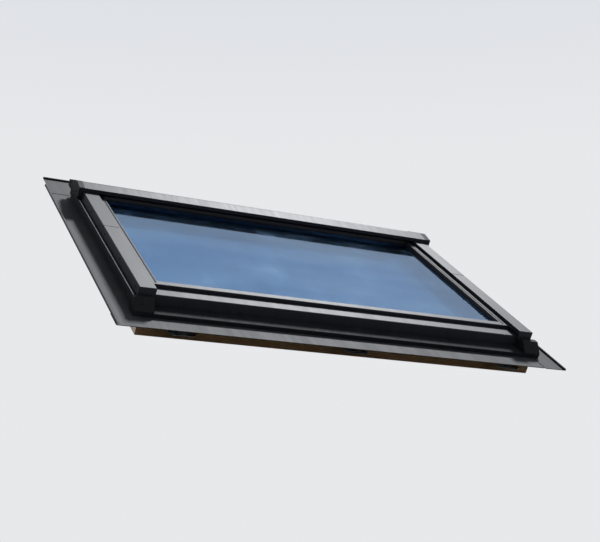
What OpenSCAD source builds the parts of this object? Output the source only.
/* [Window] */
// Width across the outside of the side covers
window_w = 1340; // [780:10:1340]
// Height from the frame's bottom edge to the hood's back edge
window_h = 980; // [880:10:1400]
// Pitch of the roof that the window lies in
roof_pitch = 37; // [15:1:65]

/* [Timber] */
// Depth of the frame's timber, square to the roof
frame_depth = 96; // [90:1:120]
// Thickness of the frame's jambs and head
jamb_t = 37; // [34:1:42]
// Thickness of the frame's sill
sill_t = 48; // [42:1:56]
// Width of the sash's side stiles
stile_w = 40; // [38:1:48]
// Width of the sash's bottom rail
bottom_rail_w = 86; // [80:1:100]
// Width of the sash's top rail
top_rail_w = 88; // [80:1:100]
// Gap between the sash and the frame
sash_gap = 4; // [3:0.5:6]

/* [Glass] */
// Thickness of each pane
pane_t = 4; // [3:0.5:6]
// Space between the panes
pane_space = 16; // [12:1:18]

/* [Covers] */
// Thickness of the bent aluminium sheet
sheet_t = 1.2; // [1:0.1:1.5]
// Outer radius of the sheet's bends
bend_r = 2.4; // [2:0.1:2.8]
// Height of the side covers' tops above the slates
cover_top = 70; // [68:1:76]
// Width of the side covers
cover_w = 52; // [50:1:54]
// Width of the sash's bottom cover, up to the glazing strip
sash_ledge = 51; // [48:1:54]
// Height of the hood's crest above the slates
hood_top = 90; // [88:1:100]
// Depth of the hood along the slope
hood_d = 150; // [146:1:170]

/* [Flashing] */
// Width of the side gutters
gutter_w = 80; // [60:5:120]
// Part of the apron that shows below the window
apron_w = 67; // [50:1:120]
// Length of the head flashing up the slope
head_flashing_w = 150; // [120:5:250]
// Height of the folded edges of the flashing
hem = 7; // [6:0.5:10]

/* [Brackets] */
// Width of the brackets that hold the frame on the battens
bracket_w = 80; // [70:1:100]
// Length of a bracket's flat foot
bracket_foot = 60; // [50:1:80]
// Thickness of a bracket's steel
bracket_t = 2.5; // [2:0.1:2.8]
// Radius of a bracket's screw holes
bracket_hole_r = 2.75; // [2:0.05:3.5]

/* [Hidden] */
$fn = 48;

// How far a cut runs past the face that it opens
through = 1;

// The window is drawn lying flat and then turned to the roof's pitch.
// Here x runs to the right along the courses, y runs up the slope,
// and heights are measured square to the roof from the top of the slates.
half_w = window_w / 2;
half_h = window_h / 2;
bottom_edge = -half_h;

// Frame
frame_top = 38;
frame_foot = frame_top - frame_depth;
side_lap = 4;
end_lap = 8;
jamb_x = half_w - side_lap;
jamb_in = jamb_x - jamb_t;
sill_out = bottom_edge + end_lap;
sill_in = sill_out + sill_t;
head_out = half_h - end_lap;
head_in = head_out - jamb_t;
groove_w = 13;
groove_d = 9;
groove_in = 8;
edge_r = 4;

// Sash
sash_foot = -26;
seal_rise = 4;
seal_t = 8;
stile_out = jamb_in - sash_gap;
stile_in = stile_out - stile_w;
rail_out = sill_in + sash_gap;
rail_in = rail_out + bottom_rail_w;
top_out = head_in - sash_gap;
top_in = top_out - top_rail_w;

// Glass, which lies in a rebate of the sash
glass_top = 46;
glass_t = 2 * pane_t + pane_space;
glass_seat = glass_top - glass_t;
sash_top = glass_top + 0.8;
rebate_w = 26;
end_rebate_w = 23;
glass_play = 3;
glass_x = stile_in + rebate_w - glass_play;
glass_y0 = rail_in - end_rebate_w + glass_play;
glass_y1 = top_in + end_rebate_w - glass_play;
spacer_w = 12;
gasket_t = 2;

// Side covers
cover_in = half_w - cover_w;
cover_foot = 42;
cover_end_foot = frame_top + 2 * sheet_t;
cover_lip = 10;
cover_drop = 10;
cover_y0 = rail_out - cover_drop;
seam_y = 30;
seam_gap = 3;
clip_l = 24;
clip_w = 24;
clip_end = 20;

// Glazing strips, from the edge over the glass to the edge over the sash
strip_base = glass_top + gasket_t;
strip_h = 11;
strip_top = strip_base + strip_h;
strip_slope = 3;
strip_lap = 6;
strip_gap = 2;
strip_x0 = stile_in + strip_lap;
strip_x1 = cover_in - strip_gap;
strip_y0 = rail_in - strip_lap;
strip_y1 = rail_out + sash_ledge;
head_strip_y0 = top_in + strip_lap;
head_strip_y1 = head_strip_y0 + strip_x1 - strip_x0;

// Covers of the sash's rails and of the frame's sill
sash_cover_top = sash_top + sheet_t;
sash_cover_foot = 12;
sash_cover_tuck = 9;
sheet_play = 0.2;
top_cover_drop = 2;
sill_cover_back = 17;
sill_cover_front = 14;
sill_cover_foot = 3;

// Cladding on the frame's sides and the blocks at its lower corners
ledge_w = 7;
cladding_x = half_w + ledge_w;
cladding_foot = 12;
cladding_top = frame_top + sheet_t;
cladding_end = sill_in - end_lap;
block_w = 16;
block_x = half_w + block_w;
block_gap = 2;
block_drop = 1;
block_top = sash_cover_top - block_drop;
block_chamfer = 18;
block_lip = 4;

// Hood
hood_y0 = half_h - hood_d;
hood_rise = 52;
hood_crest = hood_y0 + hood_rise;
hood_front_fall = 7;
hood_front = hood_top - hood_front_fall;
hood_play = 1;
hood_lip = cover_top + hood_play;
hood_lip_w = 10;
hood_back_fall = 30;
hood_back = hood_top - hood_back_fall;
hood_foot = 26;
hood_crest_r = 30;
hood_end_t = 3;
hood_rim = 1;
cheek_drop = 19;
cheek_foot = hood_lip - cheek_drop;
cover_end_play = 2;
cover_y1 = hood_y0 + hood_lip_w + cover_end_play;

// Flashing, each sheet lying on the one below it
upright_off = 3;
upright_x = jamb_x + upright_off;
upright_top = 33;
sill_upright_top = 7;
gutter_x = upright_x + gutter_w;
gutter_bed = sheet_t;
head_bed = 2 * sheet_t;
apron_y = bottom_edge - apron_w;
gutter_run = 70;
gutter_y0 = apron_y - side_lap;
gutter_y1 = half_h + gutter_run;
head_y = half_h + head_flashing_w;

// Brackets, whose feet lie on the battens
batten_top = -20;
bracket_bend_r = 4;
bracket_rise = 26;
bracket_corner_r = 12;
bracket_hole_x = 25;
bracket_inset = 120;
bracket_x = half_w - bracket_inset;
foot_middle = bracket_bend_r + bracket_foot / 2;
seat_y = sill_out - foot_middle;

// Pivot hinges, let into the jambs
pivot_h = 4;
pivot_r = 6;
pivot_play = 0.3;
pivot_l = 11;
pivot_end_play = 1;
pivot_root = 1;
hinge_l = 120;
hinge_w = 26;
hinge_t = 8;
hinge_boss_r = 17;

// Ventilation flap on the sash's top rail, and the bolt on its bottom rail
flap_inset = 120;
flap_w = window_w - 2 * flap_inset;
flap_y = top_in + 52;
flap_r = 11;
flap_grip_r = 7;
flap_depth = 46;
flap_top = sash_foot - 6;
arm_w = 30;
arm_t = 16;
arm_root = 2;
bolt_x = 300;
bolt_h = sash_foot - 7;
bolt_r = 4;
bolt_w = 18;
bolt_l = 40;
bolt_barrel_r = 7;
bolt_root = 1;
bolt_throw = 8;
bolt_knob_r = 6;
bolt_knob_h = 6;
bolt_knob_drop = 12;
keeper_r = 7;
keeper_l = 12;

function unit(v) = v / norm(v);
function left_normal(a, b) = unit([a[1] - b[1], b[0] - a[0]]);
function joint_normal(p, i) =
    let (n = len(p) - 1)
    let (before = left_normal(p[max(i - 1, 0)], p[max(i, 1)]))
    let (after = left_normal(p[min(i, n - 1)], p[min(i + 1, n)]))
    (before + after) / (1 + before * after);
function shifted(path, t) = [for (i = [0 : len(path) - 1]) path[i] + t * joint_normal(path, i)];

// The arc that rounds the corner at b between the lines to a and c
function corner(a, b, c, r, steps = 4) =
    let (to_a = unit(a - b), to_c = unit(c - b))
    let (half = acos(to_a * to_c) / 2, turn = 180 - 2 * half)
    let (centre = b + unit(to_a + to_c) * r / sin(half))
    let (first = b + to_a * r / tan(half) - centre, last = b + to_c * r / tan(half) - centre)
    [for (k = [0 : steps])
        centre + (sin(turn * (1 - k / steps)) * first + sin(turn * k / steps) * last) / sin(turn)];
function rounded(path, r) = [
    path[0],
    for (i = [1 : len(path) - 2]) each corner(path[i - 1], path[i], path[i + 1], r),
    path[len(path) - 1]
];
function reversed(path) = [for (i = [len(path) - 1 : -1 : 0]) path[i]];
function mix(a, b, k) = a + (b - a) * k;

// Turns the flat-lying window to the roof's pitch, with the origin under the middle bracket
module on_roof() {
    rotate([roof_pitch, 0, 0]) translate([0, -seat_y, -batten_top]) children();
}

module on_side(side) {
    if (side < 0) mirror([1, 0, 0]) children();
    else children();
}

module box(x, y, h) {
    translate([x[0], y[0], h[0]]) cube([x[1] - x[0], y[1] - y[0], h[1] - h[0]]);
}

// A profile of [y, height] points drawn out along x
module across(x) {
    translate([x[0], 0, 0]) rotate([90, 0, 90]) linear_extrude(x[1] - x[0]) children();
}

// A profile of [x, height] points drawn out along y
module upslope(y) {
    translate([0, y[1], 0]) rotate([90, 0, 0]) linear_extrude(y[1] - y[0]) children();
}

// An outline in plan, tall enough to cut the covers
module plan(points) {
    translate([0, 0, glass_seat]) linear_extrude(hood_top - glass_seat) polygon(points);
}

// The section of a bent sheet, whose thickness lies to the left of its path
module bent_sheet(path, t = sheet_t, r = bend_r) {
    line = rounded(path, r);
    polygon(concat(line, reversed(shifted(line, t))));
}

module ring(x, y, w, h) {
    difference() {
        box([-x, x], y, h);
        box([w - x, x - w], [y[0] + w, y[1] - w], [h[0] - through, h[1] + through]);
    }
}

module timber() { color("burlywood") on_roof() children(); }
module lacquer() { color([0.24, 0.25, 0.27]) on_roof() children(); }
module rubber() { color([0.08, 0.08, 0.09]) on_roof() children(); }
module steel() { color("silver") on_roof() children(); }

// Groove round the frame's underside for the lining boards
module lining_groove() {
    x = jamb_in + groove_in;
    y0 = sill_in - groove_in;
    y1 = head_in + groove_in;
    w = groove_w;
    difference() {
        box([-x - w, x + w], [y0 - w, y1 + w], [frame_foot - through, frame_foot + groove_d]);
        box([-x, x], [y0, y1], [frame_foot - 2 * through, frame_foot + groove_d + through]);
    }
}

module frame_head() {
    timber() difference() {
        across([-jamb_in, jamb_in]) polygon(concat(
            [[head_out, frame_foot], [head_out, frame_top], [head_in, frame_top]],
            corner([head_in, frame_top], [head_in, frame_foot], [head_out, frame_foot], edge_r)
        ));
        lining_groove();
    }
}

module frame_sill() {
    timber() difference() {
        across([-jamb_x, jamb_x]) polygon(concat(
            [
                [sill_out, frame_foot],
                [sill_out, sill_cover_line(sill_out) - sheet_t - sheet_play],
                [sill_in, sill_cover_back - sheet_t - sheet_play]
            ],
            corner([sill_in, sill_cover_back], [sill_in, frame_foot], [sill_out, frame_foot], edge_r)
        ));
        lining_groove();
        bolt_hole(keeper_r, through);
    }
}

module frame_jamb(side) {
    timber() on_side(side) difference() {
        upslope([sill_in, head_out]) polygon(concat(
            [[jamb_x, frame_foot], [jamb_x, frame_top], [jamb_in, frame_top]],
            corner([jamb_in, frame_top], [jamb_in, frame_foot], [jamb_x, frame_foot], edge_r)
        ));
        lining_groove();
        hinge_plate(through);
    }
}

// A plate with round ends, let into the jamb with its face flush
module hinge_plate(over) {
    x = jamb_in - over;
    translate([x, seam_y, pivot_h]) rotate([0, 90, 0]) cylinder(r = hinge_boss_r, h = hinge_t + over);
    box([x, jamb_in + hinge_t], [seam_y - hinge_l / 2, seam_y + hinge_l / 2],
        [pivot_h - hinge_w / 2, pivot_h + hinge_w / 2]);
}

module sash_stile(side) {
    timber() on_side(side) difference() {
        upslope([rail_out + edge_r, top_out]) polygon(concat(
            [
                [stile_out, sash_foot],
                [stile_out, sash_top],
                [stile_in + rebate_w, sash_top],
                [stile_in + rebate_w, glass_seat],
                [stile_in, glass_seat]
            ],
            corner([stile_in, glass_seat], [stile_in, sash_foot], [stile_out, sash_foot], edge_r)
        ));
        translate([stile_out - pivot_l - pivot_end_play, seam_y, pivot_h]) rotate([0, 90, 0])
            cylinder(r = pivot_r + pivot_play, h = pivot_l + pivot_end_play + through);
    }
}

// A rail's section, from its outer face to its inner face
module rail(outer, inner, rebate) {
    across([-stile_in, stile_in]) polygon(concat(
        [[outer, sash_foot]],
        corner([outer, sash_foot], [outer, sash_top], [rebate, sash_top], edge_r),
        [[rebate, sash_top], [rebate, glass_seat], [inner, glass_seat]],
        corner([inner, glass_seat], [inner, sash_foot], [outer, sash_foot], edge_r)
    ));
}

module sash_bottom_rail() {
    timber() rail(rail_out, rail_in, rail_in - end_rebate_w);
}

module sash_top_rail() {
    timber() rail(top_out, top_in, top_in + end_rebate_w);
}

module pane(h) {
    color([0.45, 0.6, 0.75, 0.5]) on_roof() box([-glass_x, glass_x], [glass_y0, glass_y1], [h, h + pane_t]);
}

module outer_pane() { pane(glass_top - pane_t); }

module inner_pane() { pane(glass_seat); }

module glass_spacer() {
    steel() ring(glass_x, [glass_y0, glass_y1], spacer_w, [glass_seat + pane_t, glass_top - pane_t]);
}

module glass_gasket() {
    rubber() difference() {
        box([-glass_x, glass_x], [glass_y0, glass_y1], [glass_top, strip_base]);
        box([-strip_x0, strip_x0], [strip_y0, head_strip_y0], [glass_top - through, strip_base + through]);
    }
}

// A glazing strip's path, from its edge on the glass to its foot on the sash.
// The edge is raised so that the sheet's thickness ends on the gasket.
function strip_path(inner, outer) = [
    [inner, strip_base + sheet_t * strip_slope / norm([strip_slope, strip_h])],
    [inner + strip_slope * sign(outer - inner), strip_top],
    [outer, strip_top],
    [outer, sash_cover_top]
];

// The glazing strips meet in mitres, so each is cut by its outline in plan
module glazing_strip_side(side) {
    x0 = strip_x0;
    x1 = strip_x1;
    lacquer() on_side(side) intersection() {
        upslope([strip_y1, head_strip_y1]) bent_sheet(strip_path(x0, x1), -sheet_t);
        plan([[x0, strip_y0], [x1, strip_y1], [x1, head_strip_y1], [x0, head_strip_y0]]);
    }
}

module glazing_strip_bottom() {
    lacquer() intersection() {
        across([-strip_x1, strip_x1]) bent_sheet(strip_path(strip_y0, strip_y1));
        plan([[-strip_x0, strip_y0], [-strip_x1, strip_y1], [strip_x1, strip_y1], [strip_x0, strip_y0]]);
    }
}

module glazing_strip_top() {
    y0 = head_strip_y0;
    y1 = head_strip_y1;
    lacquer() intersection() {
        across([-strip_x1, strip_x1]) bent_sheet(strip_path(y0, y1), -sheet_t);
        plan([[-strip_x0, y0], [-strip_x1, y1], [strip_x1, y1], [strip_x0, y0]]);
    }
}

module sash_seal() {
    foot = sash_foot + seal_rise;
    rubber() difference() {
        box([-jamb_in, jamb_in], [sill_in, head_in], [foot, foot + seal_t]);
        box([-stile_out, stile_out], [rail_out, top_out], [foot - through, foot + seal_t + through]);
    }
}

module sash_bottom_cover() {
    lacquer() across([-stile_out, stile_out]) bent_sheet([
        [strip_y1 + sash_cover_tuck, sash_top],
        [rail_out, sash_top],
        [rail_out, sash_cover_foot]
    ], -sheet_t);
}

module sash_top_cover() {
    lacquer() across([-strip_x1, strip_x1]) bent_sheet([
        [head_strip_y1 + strip_gap, sash_top],
        [head_strip_y1 + strip_gap, cover_top - top_cover_drop],
        [top_out, cover_top - top_cover_drop],
        [top_out, sash_top]
    ], -sheet_t);
}

// Height of the sill cover's sloping face
function sill_cover_line(y) =
    mix(sill_cover_front, sill_cover_back, (y - bottom_edge) / (sill_in - bottom_edge));

module frame_bottom_cover() {
    lacquer() across([-jamb_x, jamb_x]) bent_sheet([
        [sill_in - sheet_play, sill_cover_line(sill_in - sheet_play)],
        [bottom_edge, sill_cover_front],
        [bottom_edge, sill_cover_foot]
    ]);
}

// The hood's outer line, from its back foot over the crest to its front edge
hood_line = concat(
    [[half_h, hood_foot]],
    corner([half_h, hood_foot], [half_h, hood_back], [hood_crest, hood_top], 3 * bend_r),
    corner([half_h, hood_back], [hood_crest, hood_top], [hood_y0, hood_front], hood_crest_r),
    corner([hood_crest, hood_top], [hood_y0, hood_front], [hood_y0, hood_lip], bend_r)
);

module hood() {
    turned_in = corner([hood_y0, hood_front], [hood_y0, hood_lip], [hood_y0 + hood_lip_w, hood_lip], bend_r);
    line = concat(hood_line, turned_in, [[hood_y0 + hood_lip_w, hood_lip]]);
    lacquer() across([hood_end_t - half_w, half_w - hood_end_t])
        polygon(concat(line, reversed(shifted(line, sheet_t))));
}

// The hood's end stands on the cladding, with a rim round the sheet. Its inner part is cut away
// over the side cover, and its outer part is a cheek beside the cover.
module hood_end(side) {
    shoulder = [for (p = shifted(hood_line, -hood_rim)) if (p[1] > cladding_top) p];
    foot = [[cover_y1 + hood_rim, cladding_top], [half_h + hood_rim, cladding_top]];
    cheek_x = half_w + sheet_play;
    rubber() on_side(side) {
        across([half_w - hood_end_t, cheek_x]) polygon(concat(
            foot, shoulder, [[hood_y0 - hood_rim, hood_lip], [cover_y1 + hood_rim, hood_lip]]
        ));
        across([cheek_x, block_x])
            polygon(concat(foot, shoulder, [[hood_y0 - hood_rim, cheek_foot]]));
    }
}

module cover_shell(y) {
    upslope(y) bent_sheet([
        [half_w, cover_foot],
        [half_w, cover_top],
        [cover_in, cover_top],
        [cover_in, cover_top - cover_lip]
    ]);
}

module upper_cover(side) {
    lacquer() on_side(side) cover_shell([seam_y + seam_gap / 2, cover_y1]);
}

// The lower cover belongs to the sash and is closed at its lower end
module lower_cover(side) {
    lacquer() on_side(side) {
        cover_shell([cover_y0, seam_y - seam_gap / 2]);
        upslope([cover_y0, cover_y0 + sheet_t]) polygon(concat(
            [[cover_in, cover_end_foot], [half_w, cover_end_foot]],
            corner([half_w, cover_foot], [half_w, cover_top], [cover_in, cover_top], bend_r),
            corner([half_w, cover_top], [cover_in, cover_top], [cover_in, cover_foot], bend_r)
        ));
    }
}

// Clips that carry the side covers: the upper ones on the frame, the lower ones on the sash
module cover_clips() {
    upper = [seam_y + clip_end, cover_y1 - clip_end - clip_l];
    lower = [glass_y0 + clip_end, seam_y - clip_end - clip_l];
    rubber() for (side = [-1, 1], k = [0, 0.5, 1]) on_side(side) {
        translate([0, mix(upper[0], upper[1], k), 0])
            box([jamb_x - clip_w, jamb_x], [0, clip_l], [cladding_top, cover_top - sheet_t]);
        translate([0, mix(lower[0], lower[1], k), 0])
            box([cover_in + bend_r, stile_out], [0, clip_l], [sash_top, cover_top - sheet_t]);
    }
}

module frame_cladding(side) {
    lacquer() on_side(side) upslope([cladding_end, head_out]) bent_sheet([
        [cladding_x - sheet_t, cladding_foot],
        [cladding_x - sheet_t, frame_top],
        [jamb_in + sheet_t, frame_top]
    ], -sheet_t);
}

// A block closes each lower corner: its inner part stands on the sill's cover and reaches
// the jamb with a tongue under the cladding, its outer part stands on the gutter
module corner_blocks() {
    back = cladding_end;
    front = bottom_edge;
    jamb_y = sill_in - sheet_play;
    tongue_top = frame_top - sheet_play;
    nose = sill_cover_line(front) + block_lip;
    upper = [[front, nose], [back - block_chamfer, block_top], [back, block_top]];
    tongue = [[back, tongue_top], [jamb_y, tongue_top], [jamb_y, sill_cover_line(jamb_y)]];
    rubber() for (side = [-1, 1]) on_side(side) {
        across([stile_out + block_gap, jamb_x])
            polygon(concat([[front, sill_cover_line(front)]], upper, tongue));
        across([jamb_x, block_x]) polygon(concat([[back, head_bed], [front, head_bed]], upper));
    }
}

// Apron, and an upright hooked to the sill
module sill_flashing() {
    up_y = sill_out - upright_off;
    lacquer() {
        box([-gutter_x, gutter_x], [apron_y, up_y - bend_r], [0, sheet_t]);
        across([-jamb_x, jamb_x]) bent_sheet([
            [sill_out, sill_upright_top],
            [up_y, sill_upright_top],
            [up_y, 0],
            [up_y - 2 * bend_r, 0]
        ], -sheet_t);
    }
}

module side_gutter(side) {
    lacquer() on_side(side) {
        upslope([gutter_y0, gutter_y1]) bent_sheet([
            [upright_x, gutter_bed],
            [gutter_x, gutter_bed],
            [gutter_x, gutter_bed + hem],
            [gutter_x - hem, gutter_bed + hem]
        ]);
        upslope([cladding_end, head_out]) bent_sheet([
            [jamb_x, upright_top],
            [upright_x, upright_top],
            [upright_x, gutter_bed],
            [upright_x + hem, gutter_bed]
        ]);
    }
}

module head_flashing() {
    up_y = head_out + upright_off;
    bed_x = gutter_x - hem - sheet_t;
    lacquer() {
        across([-bed_x, bed_x]) bent_sheet([
            [head_y - hem, head_bed + hem],
            [head_y, head_bed + hem],
            [head_y, head_bed],
            [up_y, head_bed]
        ], -sheet_t);
        across([-upright_x, upright_x]) bent_sheet([
            [up_y + hem, head_bed],
            [up_y, head_bed],
            [up_y, upright_top],
            [head_out, upright_top]
        ], -sheet_t);
    }
}

// A bent steel plate, whose foot lies on a batten and whose leaf is screwed to the frame
module bracket_plate() {
    outer = -bracket_bend_r - bracket_foot;
    half = bracket_w / 2;
    cut = bracket_corner_r;
    difference() {
        across([-half, half])
            bent_sheet([[outer, 0], [0, 0], [0, bracket_rise]], bracket_t, bracket_bend_r);
        for (side = [-1, 1]) {
            translate([side * bracket_hole_x, -foot_middle, -through])
                cylinder(r = bracket_hole_r, h = bracket_t + 2 * through);
            translate([side * half, outer, -through]) rotate([0, 0, 45]) translate([-cut, -cut, 0] / sqrt(2))
                cube([cut * sqrt(2), cut * sqrt(2), bracket_t + 2 * through]);
        }
    }
}

module bottom_bracket(x) {
    steel() translate([x, sill_out, batten_top]) bracket_plate();
}

module top_bracket(x) {
    steel() translate([x, head_out, batten_top]) mirror([0, 1, 0]) bracket_plate();
}

module pivot_hinge(side) {
    steel() on_side(side) {
        hinge_plate(0);
        translate([stile_out - pivot_l, seam_y, pivot_h]) rotate([0, 90, 0])
            cylinder(r = pivot_r, h = pivot_l + sash_gap + pivot_root);
    }
}

// A bar with a thick back and a thinner gripping edge, on three arms under the top rail
module vent_flap() {
    back = flap_y + flap_depth / 2 - flap_r;
    grip = flap_y - flap_depth / 2 + flap_grip_r;
    steel() {
        across([-flap_w / 2, flap_w / 2]) {
            translate([back, flap_top - flap_r]) circle(r = flap_r);
            translate([grip, flap_top - 2 * flap_r + flap_grip_r]) circle(r = flap_grip_r);
            polygon([
                [back, flap_top],
                [grip, flap_top - 2 * flap_r + 2 * flap_grip_r],
                [grip, flap_top - 2 * flap_r],
                [back, flap_top - 2 * flap_r]
            ]);
        }
        for (x = [-1, 0, 1] * (flap_w / 2 - flap_inset))
            translate([x, back, 0])
                box([-arm_w / 2, arm_w / 2], [-arm_t / 2, arm_t / 2], [flap_top - arm_root, sash_foot]);
    }
}

module bolt_hole(r, over) {
    translate([bolt_x, sill_in + over, bolt_h]) rotate([90, 0, 0]) cylinder(r = r, h = keeper_l + over);
}

module sash_bolt() {
    y = rail_out + sash_gap;
    steel() {
        box([bolt_x - bolt_w / 2, bolt_x + bolt_w / 2], [y, y + bolt_l], [bolt_h, sash_foot]);
        translate([bolt_x, y + bolt_l, bolt_h]) rotate([90, 0, 0]) cylinder(r = bolt_barrel_r, h = bolt_l);
        translate([bolt_x, y + bolt_root, bolt_h]) rotate([90, 0, 0])
            cylinder(r = bolt_r, h = 2 * sash_gap + bolt_throw + bolt_root);
        translate([bolt_x, y + bolt_l / 2, bolt_h - bolt_knob_drop])
            cylinder(r = bolt_knob_r, h = bolt_knob_h);
    }
}

module bolt_keeper() {
    steel() difference() {
        bolt_hole(keeper_r, 0);
        translate([0, through, 0]) bolt_hole(bolt_r + pivot_play, 2 * through);
    }
}

frame_head();
frame_sill();
frame_jamb(-1);  // frame_jamb_left
frame_jamb(1);  // frame_jamb_right
sash_top_rail();
sash_bottom_rail();
sash_stile(-1);  // sash_stile_left
sash_stile(1);  // sash_stile_right
outer_pane();
inner_pane();
glass_spacer();
glass_gasket();
glazing_strip_top();
glazing_strip_bottom();
glazing_strip_side(-1);  // glazing_strip_left
glazing_strip_side(1);  // glazing_strip_right
sash_seal();
sash_top_cover();
sash_bottom_cover();
frame_bottom_cover();
hood();
hood_end(-1);  // hood_end_left
hood_end(1);  // hood_end_right
upper_cover(-1);  // upper_cover_left
upper_cover(1);  // upper_cover_right
lower_cover(-1);  // lower_cover_left
lower_cover(1);  // lower_cover_right
cover_clips();
frame_cladding(-1);  // frame_cladding_left
frame_cladding(1);  // frame_cladding_right
corner_blocks();
sill_flashing();
side_gutter(-1);  // side_gutter_left
side_gutter(1);  // side_gutter_right
head_flashing();
bottom_bracket(0);  // bracket_middle
bottom_bracket(-bracket_x);  // bracket_bottom_left
bottom_bracket(bracket_x);  // bracket_bottom_right
top_bracket(-bracket_x);  // bracket_top_left
top_bracket(bracket_x);  // bracket_top_right
pivot_hinge(-1);  // pivot_hinge_left
pivot_hinge(1);  // pivot_hinge_right
vent_flap();
sash_bolt();
bolt_keeper();
